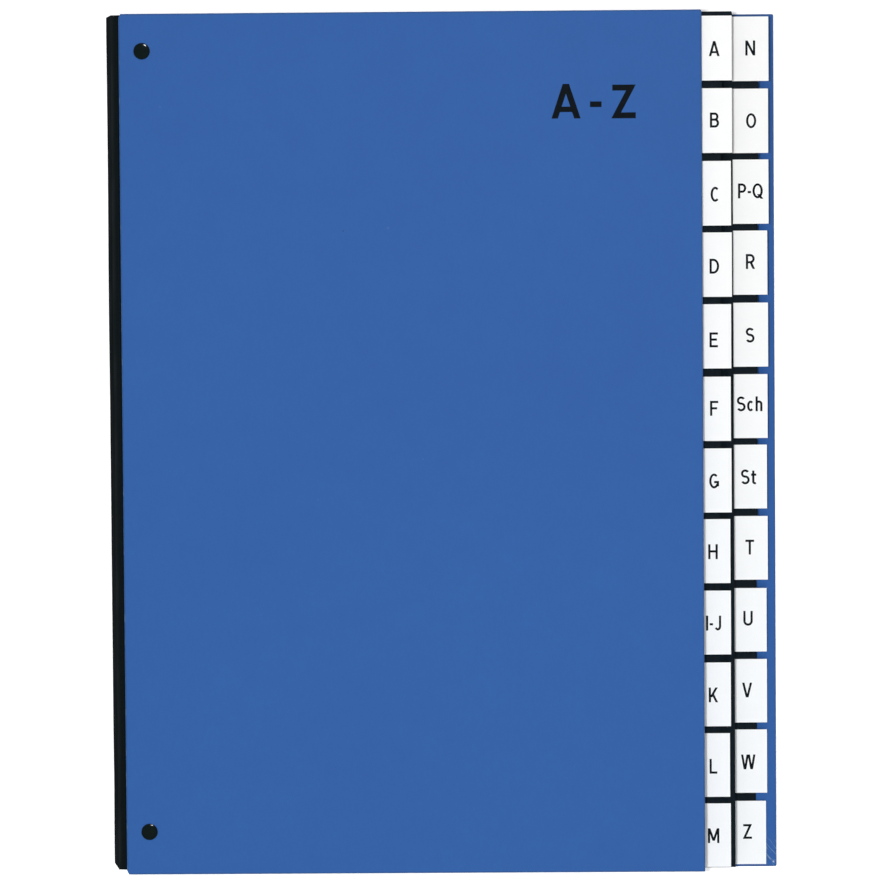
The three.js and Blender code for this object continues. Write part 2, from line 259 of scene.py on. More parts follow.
class Finish:
    """One new material, with short ways to add nodes to it."""

    def __init__(self, name, roughness, specular=0.5):
        self.material = bpy.data.materials.new(name)
        self.material.use_nodes = True
        self.tree = self.material.node_tree
        self.shader = self.tree.nodes["Principled BSDF"]
        self.shader.inputs["Roughness"].default_value = roughness
        self.shader.inputs["Specular IOR Level"].default_value = specular
        coordinates = self.tree.nodes.new("ShaderNodeTexCoord")
        self.place = coordinates.outputs["Object"]
        self.normal = coordinates.outputs["Normal"]

    def add(self, kind, *values, **settings):
        node = self.tree.nodes.new(kind)
        for name, value in settings.items():
            setattr(node, name, value)
        for socket, value in zip(node.inputs, values):
            self.put(socket, value)
        return node

    def put(self, socket, value):
        if isinstance(value, bpy.types.NodeSocket):
            self.tree.links.new(value, socket)
        elif value is not None:
            socket.default_value = value

    def math(self, operation, *values, clamp=False):
        return self.add("ShaderNodeMath", *values, operation=operation, use_clamp=clamp).outputs[0]

    def product(self, first, *others):
        for value in others:
            first = self.math("MULTIPLY", first, value)
        return first

    def axis(self, vector, name):
        return self.add("ShaderNodeSeparateXYZ", vector).outputs[name]

    def sides(self):
        """1 on upright sides and 0 on level faces."""
        steepness = self.math("ABSOLUTE", self.axis(self.normal, "Z"))
        return self.fade(steepness, low=0.35, high=0.8)

    def ramp(self, value, low, high, to_low=0.0, to_high=1.0):
        """A smooth step from to_low, at low, to to_high, at high."""
        node = self.add("ShaderNodeMapRange", interpolation_type="SMOOTHSTEP")
        for name, number in (("Value", value), ("From Min", low), ("From Max", high),
                             ("To Min", to_low), ("To Max", to_high)):
            self.put(node.inputs[name], number)
        return node.outputs["Result"]

    def fade(self, value, low, high, start=1.0):
        """A smooth step from start, at low, down to 0, at high."""
        return self.ramp(value, low, high, start, 0.0)

    def noise(self, size, detail=2.0, stretch=(1, 1, 1), shift=0.0):
        """Noise from 0 to 1 whose blots are about size metres across."""
        mapping = self.add("ShaderNodeMapping", self.place)
        mapping.inputs["Location"].default_value = (shift, shift, shift)
        mapping.inputs["Scale"].default_value = [s / size for s in stretch]
        node = self.add("ShaderNodeTexNoise", normalize=True)
        self.put(node.inputs["Vector"], mapping.outputs[0])
        self.put(node.inputs["Scale"], 1.0)
        self.put(node.inputs["Detail"], detail)
        return node.outputs["Fac"]

    def mix(self, factor, first, second):
        node = self.add("ShaderNodeMix", data_type="RGBA")
        for name, value in (("Factor_Float", factor), ("A_Color", first), ("B_Color", second)):
            socket = next(s for s in node.inputs if s.identifier == name)
            self.put(socket, with_alpha(value))
        return next(s for s in node.outputs if s.identifier == "Result_Color")

    def mottled(self, colour, *layers):
        """The colour, made lighter and darker by noise: each layer is the noise and its share."""
        for noise, share in layers:
            factor = self.ramp(noise, 0.25, 0.75, 1 - share, 1 + share)
            vector = self.add("ShaderNodeVectorMath", colour, operation="SCALE")
            self.put(vector.inputs["Scale"], factor)
            colour = vector.outputs[0]
        return colour

    def colour(self, value):
        self.put(self.shader.inputs["Base Color"], with_alpha(value))

    def rough(self, value):
        self.put(self.shader.inputs["Roughness"], value)

    def bump(self, height, depth, strength=1.0):
        """Bump from a height of 0 to 1 that is depth metres deep; later calls add to earlier ones."""
        node = self.add("ShaderNodeBump")
        node.inputs["Strength"].default_value = strength
        node.inputs["Distance"].default_value = depth
        self.put(node.inputs["Height"], height)
        linked = self.shader.inputs["Normal"].links
        if linked:
            self.put(node.inputs["Normal"], linked[0].from_socket)
        self.put(self.shader.inputs["Normal"], node.outputs["Normal"])

    def away_from(self, point):
        """Distance from a point, level with the desk."""
        flat = self.add("ShaderNodeVectorMath", self.place, (1, 1, 0), operation="MULTIPLY")
        level = (point.x, point.y, 0)
        node = self.add("ShaderNodeVectorMath", flat.outputs[0], level, operation="DISTANCE")
        return node.outputs["Value"]

    def inset(self, low, high):
        """Distance inwards from the edges of an upright box, seen from above."""
        distances = []
        for name, a, b in (("X", low.x, high.x), ("Y", low.y, high.y)):
            along = self.axis(self.place, name)
            distances += [self.math("SUBTRACT", along, a), self.math("SUBTRACT", b, along)]
        nearest = distances[0]
        for distance in distances[1:]:
            nearest = self.math("MINIMUM", nearest, distance)
        return nearest


# Marks on the front cover, by the photograph's pixels: x, y, radius in mm, colour, strength
COVER_MARKS = [
    (343, 231, 0.55, MARK_INK, 0.75),
    (512, 476, 0.45, MARK_INK, 0.6),
    (436, 758, 0.5, MARK_PLUM, 0.6),
    (388, 228, 0.9, MARK_PALE, 0.3),
    (318, 500, 0.7, MARK_PALE_DULL, 0.3),
    (423, 459, 0.7, MARK_PALE, 0.25),
    (160, 107, 0.8, MARK_PALE, 0.25),
    (414, 245, 0.55, MARK_VIOLET, 0.55),
    (419, 247.5, 0.6, MARK_VIOLET, 0.55),
    (424, 249.5, 0.5, MARK_VIOLET, 0.45),
    (462, 497, 0.45, MARK_PURPLE, 0.5),
    (462, 501, 0.45, MARK_PURPLE, 0.55),
    (462, 505, 0.45, MARK_PURPLE, 0.5),
    (462, 509, 0.4, MARK_PURPLE, 0.4),
]


def board_finish(name, node, inner_side, marks=()):
    """Blue paper laminated on board: its faces, a painted shade along its rims, its rubbed edges, and a
    lining inside.

    inner_side is 1 where the inside faces up and -1 where it faces down.
    """
    low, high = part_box(node)
    finish = Finish(name, roughness=0.5, specular=0.16)
    broad = finish.noise(size=0.11, detail=2.0)
    cloud = finish.noise(size=0.012, detail=3.0, shift=3.1)
    fibre = finish.noise(size=0.0011, detail=4.0, stretch=(1, 0.45, 1), shift=7.7)
    grain = finish.noise(size=0.00035, detail=2.0, shift=1.3)
    face = finish.mottled(BLUE, (broad, 0.012), (cloud, 0.012), (fibre, 0.02), (grain, 0.02))
    for px, py, radius, tint, strength in marks:
        distance = finish.away_from(on_plane(px, py, high.z))
        wobbly = finish.math("ADD", distance, finish.product(grain, MARK_UNEVENNESS))
        spot = finish.fade(wobbly, 0.35 * radius * MM, radius * MM, start=strength)
        face = finish.mix(spot, face, tint)
    inset = finish.inset(low, high)
    rim = finish.math("ADD", inset, finish.product(cloud, RIM_UNEVENNESS))
    rubbed = finish.fade(rim, *RUBBED_RIM)
    blots = finish.noise(size=0.004, detail=5.0, shift=5.2)
    patches = finish.ramp(blots, low=0.52, high=0.72)
    # Painted shade: the blue darkened along the boards' rounded rims, where they turn away from the
    # light
    face = finish.mix(finish.fade(inset, *PAINTED_RIM_SHADE, start=0.55), face, BLUE_PAINTED_RIM_SHADE)
    face = finish.mix(finish.product(rubbed, patches, 0.35), face, BLUE_WORN)
    plies = finish.noise(size=0.0006, detail=3.0, stretch=(0.04, 0.04, 1.6), shift=2.2)
    core = finish.mottled(BLUE_CORE, (plies, 0.22), (fibre, 0.1))
    finish.colour(finish.mix(finish.sides(), face, core))
    finish.rough(finish.ramp(cloud, low=0.2, high=0.8, to_low=0.47, to_high=0.55))
    finish.bump(fibre, depth=0.012 * MM, strength=0.5)
    finish.bump(grain, depth=0.006 * MM, strength=0.5)
    finish.bump(broad, depth=0.5 * MM, strength=0.15)
    facing = finish.axis(finish.normal, "Z")
    inside = finish.ramp(finish.product(facing, inner_side), low=0.4, high=0.6)
    lining = finish.product(inside, finish.ramp(inset, *LINING_EDGE))
    finish.bump(lining, depth=LINING_THICKNESS, strength=0.8)
    return finish


def scuffed_corner(finish, node):
    """Light scratches and a pale nick at the back cover's lower fore corner."""
    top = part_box(node)[1].z
    corner = finish.away_from(on_plane(*SCUFF_PIXEL, top))
    near = finish.fade(corner, *SCUFF_REACH)
    turned = finish.add("ShaderNodeVectorRotate", finish.place, rotation_type="Z_AXIS")
    turned.inputs["Angle"].default_value = SCRATCH_TURN
    mapping = finish.add("ShaderNodeMapping", turned.outputs[0])
    mapping.inputs["Scale"].default_value = SCRATCH_STRETCH
    streaks = finish.add("ShaderNodeTexNoise", normalize=True)
    finish.put(streaks.inputs["Vector"], mapping.outputs[0])
    finish.put(streaks.inputs["Scale"], 1.0)
    scratch = finish.ramp(streaks.outputs["Fac"], low=0.56, high=0.66)
    face = finish.shader.inputs["Base Color"].links[0].from_socket
    face = finish.mix(finish.product(near, scratch, 0.8), face, BLUE_WORN)
    nick = finish.fade(finish.away_from(on_plane(*NICK_PIXEL, top)), *NICK_REACH)
    crumbs = finish.noise(size=0.0008, detail=3.0, shift=8.0)
    ragged = finish.ramp(crumbs, low=0.45, high=0.6)
    finish.colour(finish.mix(finish.product(nick, ragged), face, BLUE_CHIPPED))


def card_finish():
    """Black card through and through, its cut edges a little paler."""
    finish = Finish("black_card", roughness=0.72, specular=0.12)
    fibre = finish.noise(size=0.0009, detail=5.0, stretch=(1, 0.35, 1))
    cloud = finish.noise(size=0.015, detail=3.0, shift=4.0)
    face = finish.mottled(BLACK_CARD, (cloud, 0.08), (fibre, 0.2))
    edge = finish.mottled(CARD_FIBRE, (fibre, 0.35))
    finish.colour(finish.mix(finish.product(finish.sides(), 0.8), face, edge))
    finish.rough(finish.ramp(cloud, low=0.2, high=0.8, to_low=0.66, to_high=0.78))
    finish.bump(fibre, depth=0.015 * MM, strength=0.6)
    return finish.material


def label_finish(node):
    """White label paper with a painted shade, darker and cooler towards the foot, and card black below
    the tab's own height.
    """
    finish = Finish(f"{node}_paper", roughness=0.62, specular=0.35)
    low, high = CAD_BOX
    along = finish.axis(finish.place, "Y")
    up = finish.ramp(along, low.y, high.y)
    fibre = finish.noise(size=0.0005, detail=4.0, stretch=(1, 0.5, 1))
    cloud = finish.noise(size=0.006, detail=2.0, shift=9.0)
    # Painted shade: the paper darker and bluer towards the sorter's foot, where the labels lie deeper in
    # the stack
    paper = finish.mix(up, LABEL_PAINTED_SHADE, LABEL_WHITE)
    paper = finish.mottled(paper, (cloud, 0.006), (fibre, 0.008))
    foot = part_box(node)[1].y - TAB_HEIGHT
    below = finish.fade(along, foot - LABEL_END_SOFTNESS, foot)
    finish.colour(finish.mix(below, paper, BLACK_CARD))
    finish.bump(fibre, depth=0.006 * MM, strength=0.4)
    return finish.material


def cloth_finish():
    """Black book cloth: a fine plain weave, rubbed paler on the ridges of its folds."""
    finish = Finish("book_cloth", roughness=0.78, specular=0.06)
    finish.shader.inputs["Sheen Weight"].default_value = 0.01
    finish.shader.inputs["Sheen Roughness"].default_value = 0.5
    threads = []
    for direction in ("Y", "X"):
        node = finish.add("ShaderNodeTexWave", finish.place, bands_direction=direction)
        node.inputs["Scale"].default_value = WEAVE_SCALE
        node.inputs["Distortion"].default_value = 0.6
        threads.append(node.outputs["Fac"])
    weave = finish.math("MAXIMUM", *threads)
    fuzz = finish.noise(size=0.0006, detail=4.0)
    patches = finish.noise(size=0.009, detail=4.0, stretch=(1, 0.35, 1), shift=6.0)
    cloth = finish.mottled(CLOTH_BLACK, (fuzz, 0.25), (weave, 0.12))
    ridge = finish.add("ShaderNodeAttribute", attribute_name="ridge").outputs["Fac"]
    raised = finish.ramp(ridge, low=0.55, high=1.0)
    uneven = finish.ramp(patches, low=0.35, high=0.7, to_low=0.25, to_high=1.0)
    finish.colour(finish.mix(finish.product(raised, uneven, 0.7), cloth, CLOTH_WORN))
    finish.bump(weave, depth=0.03 * MM, strength=0.5)
    finish.bump(fuzz, depth=0.02 * MM, strength=0.4)
    return finish.material


def lacquer_finish():
    """Black lacquer on a steel rivet."""
    finish = Finish("black_lacquer", roughness=0.15, specular=0.5)
    specks = finish.noise(size=0.0004, detail=3.0)
    orange_peel = finish.noise(size=0.0009, detail=2.0, shift=2.0)
    finish.colour(finish.mottled(LACQUER, (specks, 0.12)))
    finish.rough(finish.ramp(specks, low=0.3, high=0.7, to_low=0.12, to_high=0.18))
    finish.bump(orange_peel, depth=0.02 * MM, strength=0.3)
    return finish.material


def ink_finish():
    """Printing ink, slightly uneven in its cover."""
    finish = Finish("black_ink", roughness=0.55, specular=0.1)
    cover = finish.noise(size=0.0005, detail=4.0)
    finish.colour(finish.mottled(INK, (cover, 0.25)))
    finish.rough(finish.ramp(cover, low=0.3, high=0.7, to_low=0.5, to_high=0.62))
    finish.bump(cover, depth=0.004 * MM, strength=0.4)
    return finish.material


def coat(piece, material):
    piece.data.materials.clear()
    piece.data.materials.append(material)


def mesh_piece(name, points, faces, material):
    """A new object from points, in metres, and faces."""
    mesh = bpy.data.meshes.new(name)
    mesh.from_pydata(points, [], faces)
    mesh.materials.append(material)
    mesh.validate()
    piece = bpy.data.objects.new(name, mesh)
    bpy.context.scene.collection.objects.link(piece)
    return piece


def shade_smooth(piece, angle):
    """Smooth shading, with the edges that turn by more than the angle, in degrees, kept sharp."""
    work = bmesh.new()
    work.from_mesh(piece.data)
    bmesh.ops.recalc_face_normals(work, faces=work.faces)
    for face in work.faces:
        face.smooth = True
    for edge in work.edges:
        if edge.is_manifold and edge.calc_face_angle(0) > math.radians(angle):
            edge.smooth = False
    work.to_mesh(piece.data)
    work.free()


# Covers

def board_outline(low, high, inset):
    """A board's outline, drawn in by the inset: spine corners cut off, fore corners rounded."""
    x0, x1, y0, y1 = low.x + inset, high.x - inset, low.y + inset, high.y - inset
    cut_x, cut_y = SPINE_CORNER_CUT
    radius = FORE_CORNER_RADIUS
    points = [(x0, y0 + cut_y), (x0 + cut_x, y0)]
    for y, start in ((y0 + radius, -90), (y1 - radius, 0)):
        for step in range(CORNER_STEPS + 1):
            angle = math.radians(start + 90 * step / CORNER_STEPS)
            points.append((x1 - radius + radius * math.cos(angle), y + radius * math.sin(angle)))
    return points + [(x0 + cut_x, y1), (x0, y1 - cut_y)]


def board(name, low, high, material):
    """A closed board with softened edges, as rings from its lower face to its upper one."""
    rings = []
    for up, face in ((1, low.z), (-1, high.z)):
        for step in range(EDGE_STEPS + 1)[::up]:
            angle = math.pi / 2 * step / EDGE_STEPS
            z = face + up * BOARD_ROUNDING * (1 - math.cos(angle))
            inset = BOARD_ROUNDING * (1 - math.sin(angle))
            rings.append([(x, y, z) for x, y in board_outline(low, high, inset)])
    count = len(rings[0])
    faces = [tuple(range(count))[::-1], tuple(range((len(rings) - 1) * count, len(rings) * count))]
    for ring in range(len(rings) - 1):
        for i in range(count):
            a, b = ring * count + i, ring * count + (i + 1) % count
            faces.append((a, b, b + count, a + count))
    return mesh_piece(name, [point for ring in rings for point in ring], faces, material)


def drill(piece, centre, radius, bottom, top):
    """A round hole through the piece, or a seat in it, between two heights."""
    work = bmesh.new()
    bmesh.ops.create_cone(work, cap_ends=True, segments=HOLE_SIDES, radius1=radius, radius2=radius,
                          depth=top - bottom)
    bmesh.ops.translate(work, verts=work.verts, vec=(centre.x, centre.y, (bottom + top) / 2))
    mesh = bpy.data.meshes.new("drill")
    work.to_mesh(mesh)
    work.free()
    cutter = bpy.data.objects.new("drill", mesh)
    bpy.context.scene.collection.objects.link(cutter)
    cut = piece.modifiers.new("cut", "BOOLEAN")
    cut.operation = "DIFFERENCE"
    cut.object = cutter
    drilled = piece.evaluated_get(bpy.context.evaluated_depsgraph_get())
    piece.data = bpy.data.meshes.new_from_object(drilled)
    piece.modifiers.clear()
    bpy.data.objects.remove(cutter)


def make_cover(side, material):
    """One cover's board, drilled for its rivets; the back one also has seats for their heads."""
    node = f"{side}_cover"
    low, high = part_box(node)
    piece = board(f"{node}_board", low, high, material)
    for end in ("top", "bottom"):
        rivet_low, rivet_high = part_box(f"{side}_rivet_{end}")
        centre = (rivet_low + rivet_high) / 2
        drill(piece, centre, RIVET_HOLE_RADIUS, low.z - CUT_OVERRUN, high.z + CUT_OVERRUN)
        if side == "back":
            drill(piece, centre, RIVET_SEAT_RADIUS, low.z - CUT_OVERRUN, low.z + RIVET_SEAT_DEPTH)
    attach(piece, side)
    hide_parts(node)


# Spine cloth

CARDS = [n for n in frame["record"]["behaviour"]["bodies"]["leaves"] if n.startswith("divider_")]
CARDS.sort(key=lambda name: -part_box(name)[0].z)


def fold_edge(level):
    """Where the cloth of one level stands along X: the cards' spine edge without its margin."""
    if level < len(CARDS):
        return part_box(CARDS[level])[0].x - CARD_SPINE_MARGIN
    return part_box("back_cover")[0].x


def ridge_points(level):
    """The rounded outward fold between card level - 1 and card level, from its upper layer down."""
    half = CLOTH_THICKNESS / 2
    if level == 0:
        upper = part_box("front_cover")[0].z - half
    else:
        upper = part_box(CARDS[level - 1])[0].z - 3 * half - PLEAT_BACK_GAP
    if level == len(CARDS):
        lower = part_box("back_cover")[1].z + half
    else:
        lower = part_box(CARDS[level])[0].z - half
    start = fold_edge(level) + PLEAT_NOSE_START
    reach = PLEAT_NOSE_START + PLEAT_REACH - half
    points = []
    for step in range(RIDGE_STEPS + 1):
        angle = math.pi * (0.5 - step / RIDGE_STEPS)
        out = max(0.0, math.cos(angle)) ** RIDGE_POWER
        z = (upper + lower) / 2 + (upper - lower) / 2 * math.sin(angle)
        points.append((start - reach * out, z, out, level))
    return points


def valley_points(index):
    """The inward fold that card index is glued on, from its upper layer down."""
    radius = (CLOTH_THICKNESS + PLEAT_BACK_GAP) / 2
    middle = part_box(CARDS[index])[0].z - CLOTH_THICKNESS / 2 - radius
    x = fold_edge(index) + PLEAT_INNER_FOLD - radius
    points = []
    for step in range(VALLEY_STEPS + 1):
        angle = math.pi * (0.5 - step / VALLEY_STEPS)
        points.append((x + radius * math.cos(angle), middle + radius * math.sin(angle), 0.0, index))
    return points


def smooth_walk(rng, count, size, every):
    """A seeded wander from -size to size, smooth between a few chosen values."""
    knots = [rng.uniform(-size, size) for _ in range(count // every + 3)]
    walk = []
    for i in range(count):
        k, t = divmod(i / every, 1)
        a, b = knots[int(k)], knots[int(k) + 1]
        walk.append(a + (b - a) * t * t * (3 - 2 * t))
    return walk


def spine_cloth(name, path, material):
    """A thin strip that follows the path across the spine and runs along it from head to foot."""
    cover_low, cover_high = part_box("front_cover")
    head = cover_high.y - CLOTH_TOP_MARGIN
    foot = cover_low.y + CLOTH_FOOT_MARGIN
    rng = random.Random(SEED)
    wander = [smooth_walk(rng, CLOTH_ROWS + 1, RIDGE_WANDER, WANDER_ROWS) for _ in range(len(CARDS) + 1)]
    outline, ridges, levels = [], [], []
    for side in (1, -1):
        chain = []
        for i, (x, z, out, level) in enumerate(path):
            before, after = path[max(i - 1, 0)], path[min(i + 1, len(path) - 1)]
            along = Vector((after[0] - before[0], after[1] - before[1])).normalized()
            offset = Vector((along.y, -along.x)) * side * CLOTH_THICKNESS / 2
            chain.append(((x + offset.x, z + offset.y), out, level))
        chain = chain if side == 1 else chain[::-1]
        outline += [c[0] for c in chain]
        ridges += [c[1] for c in chain]
        levels += [c[2] for c in chain]
    points, worn = [], []
    for row in range(CLOTH_ROWS + 1):
        y = head + (foot - head) * row / CLOTH_ROWS
        for (x, z), out, level in zip(outline, ridges, levels):
            points.append((x + out * wander[level][row], y, z))
            worn.append(out)
    ring, faces = len(outline), []
    for row in range(CLOTH_ROWS):
        for i in range(ring):
            j = (i + 1) % ring
            here, below = row * ring, (row + 1) * ring
            faces.append((here + i, here + j, below + j, below + i))
    for row in (0, CLOTH_ROWS):
        base = row * ring
        for i in range(ring // 2 - 1):
            faces.append((base + i, base + i + 1, base + ring - 2 - i, base + ring - 1 - i))
    piece = mesh_piece(name, points, faces, material)
    attribute = piece.data.attributes.new("ridge", "FLOAT", "POINT")
    attribute.data.foreach_set("value", worn)
    shade_smooth(piece, CLOTH_SHARP_ANGLE)
    return piece


def flange_end(cover):
    """Where the cloth's flange ends along X, inside a cover."""
    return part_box(cover)[0].x + FLANGE_WIDTH


def make_spine(material):
    """The pleated cloth in two pieces, one from the front cover past every card and one from the last
    card round to the back cover.
    """
    half = CLOTH_THICKNESS / 2
    path = [(flange_end("front_cover"), ridge_points(0)[0][1], 0.0, 0)]
    for level in range(len(CARDS)):
        path += ridge_points(level) + valley_points(level)
    last = valley_points(len(CARDS) - 1)[-1]
    tail = [(last[0], last[1], 0.0, len(CARDS))] + ridge_points(len(CARDS))
    tail.append((flange_end("back_cover"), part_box("back_cover")[1].z + half, 0.0, len(CARDS)))
    upper = spine_cloth("spine_cloth_upper", path, material)
    lower = spine_cloth("spine_cloth_lower", tail, material)
    for piece in (upper, lower):
        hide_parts("spine_gusset")
    for piece, body, level, down in ((upper, "front", 0, -1), (lower, "back", len(CARDS), 1)):
        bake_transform(piece)


# Rivets

def revolve(name, profile, centre, material):
    """A closed turned form about an upright axis; the profile's ends lie on the axis."""
    points, faces = [], []
    for radius, z in profile:
        for side in range(RIVET_SIDES):
            turn = 2 * math.pi * side / RIVET_SIDES
            points.append((centre.x + radius * math.cos(turn), centre.y + radius * math.sin(turn), z))
    for ring in range(len(profile) - 1):
        for side in range(RIVET_SIDES):
            a = ring * RIVET_SIDES + side
            b = ring * RIVET_SIDES + (side + 1) % RIVET_SIDES
            faces.append((a, b, b + RIVET_SIDES, a + RIVET_SIDES))
    piece = mesh_piece(name, points, faces, material)
    work = bmesh.new()
    work.from_mesh(piece.data)
    bmesh.ops.remove_doubles(work, verts=work.verts, dist=MERGE_DISTANCE)
    work.to_mesh(piece.data)
    work.free()
    shade_smooth(piece, RIVET_SHARP_ANGLE)
    return piece


def rivet_profile(bottom, top, head_up):
    """From the axis at the head, over the dome and down the shank to the rolled, hollow end."""
    length = top - bottom
    profile = []
    for step in range(DOME_STEPS + 1):
        angle = math.pi / 2 * step / DOME_STEPS
        drop = (RIVET_HEAD_HEIGHT - 2 * RIM_ROUNDING) * (1 - math.cos(angle) ** 0.9)
        profile.append((RIVET_HEAD_RADIUS * math.sin(angle) ** 0.95, drop))
    profile.append((RIVET_HEAD_RADIUS, RIVET_HEAD_HEIGHT - RIM_ROUNDING))
    profile.append((RIVET_HEAD_RADIUS - RIM_ROUNDING, RIVET_HEAD_HEIGHT))
    profile.append((RIVET_SHANK_RADIUS, RIVET_HEAD_HEIGHT))
    profile.append((RIVET_SHANK_RADIUS, length - RIVET_CLINCH_HEIGHT))
    middle = (RIVET_SHANK_RADIUS + RIVET_CLINCH_RADIUS) / 2
    for step in range(CLINCH_STEPS + 1):
        angle = math.pi * step / CLINCH_STEPS
        root = RIVET_CLINCH_ROOT if step == 0 else 0
        radius = middle + (RIVET_CLINCH_RADIUS - middle) * math.sin(angle) ** 0.8 + root
        profile.append((radius, length - RIVET_CLINCH_HEIGHT * (0.5 + 0.5 * math.cos(angle))))
    profile.append((RIVET_BORE_RADIUS, length - RIVET_BORE_LIP))
    profile.append((RIVET_BORE_RADIUS, length - RIVET_BORE_DEPTH))
    profile.append((0, length - RIVET_BORE_DEPTH))
    if head_up:
        return [(radius, top - drop) for radius, drop in profile]
    return [(radius, bottom + drop) for radius, drop in profile]


def make_rivets(material):
    for side in ("front", "back"):
        for end in ("top", "bottom"):
            node = f"{side}_rivet_{end}"
            low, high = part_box(node)
            profile = rivet_profile(low.z, high.z, head_up=side == "front")
            piece = revolve(f"{node}_turned", profile, (low + high) / 2, material)
            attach(piece, side)
            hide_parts(node)


# Lettering: each letter is 1 high and made of bars and bows, its width and stroke given in heights

GLYPH_WIDTHS = {
    "A": 0.72, "B": 0.61, "C": 0.62, "D": 0.64, "E": 0.56, "F": 0.55, "G": 0.66, "H": 0.64,
    "I": 0.145, "J": 0.45, "K": 0.64, "L": 0.52, "M": 0.77, "N": 0.66, "O": 0.68, "P": 0.55,
    "Q": 0.69, "R": 0.62, "S": 0.60, "T": 0.58, "U": 0.63, "V": 0.68, "W": 0.98, "Z": 0.62,
    "c": 0.47, "h": 0.46, "t": 0.34, "-": 0.22,
}


def level_bar(x0, x1, y, s):
    return [(x0, y - s / 2), (x1, y - s / 2), (x1, y + s / 2), (x0, y + s / 2)]


def upright_bar(x, y0, y1, s):
    return [(x - s / 2, y0), (x + s / 2, y0), (x + s / 2, y1), (x - s / 2, y1)]


def slant_half(dx, dy, s):
    """Half the level width of a bar that runs dx along and dy up."""
    return s / 2 * math.hypot(dx, dy) / abs(dy)


def slant_bar(x0, y0, x1, y1, s):
    """A slanting bar with level ends; x0 and x1 are the middles of its ends."""
    half = slant_half(x1 - x0, y1 - y0, s)
    return [(x0 - half, y0), (x0 + half, y0), (x1 + half, y1), (x1 - half, y1)]


def bow(x, y, rx, ry, start, end, s):
    """A curved stroke along part of an ellipse, from one angle to another in degrees."""
    outer, inner = [], []
    for step in range(BOW_STEPS + 1):
        angle = math.radians(start + (end - start) * step / BOW_STEPS)
        c, n = math.cos(angle), math.sin(angle)
        outer.append((x + (rx + s / 2) * c, y + (ry + s / 2) * n))
        inner.append((x + (rx - s / 2) * c, y + (ry - s / 2) * n))
    return outer + inner[::-1]


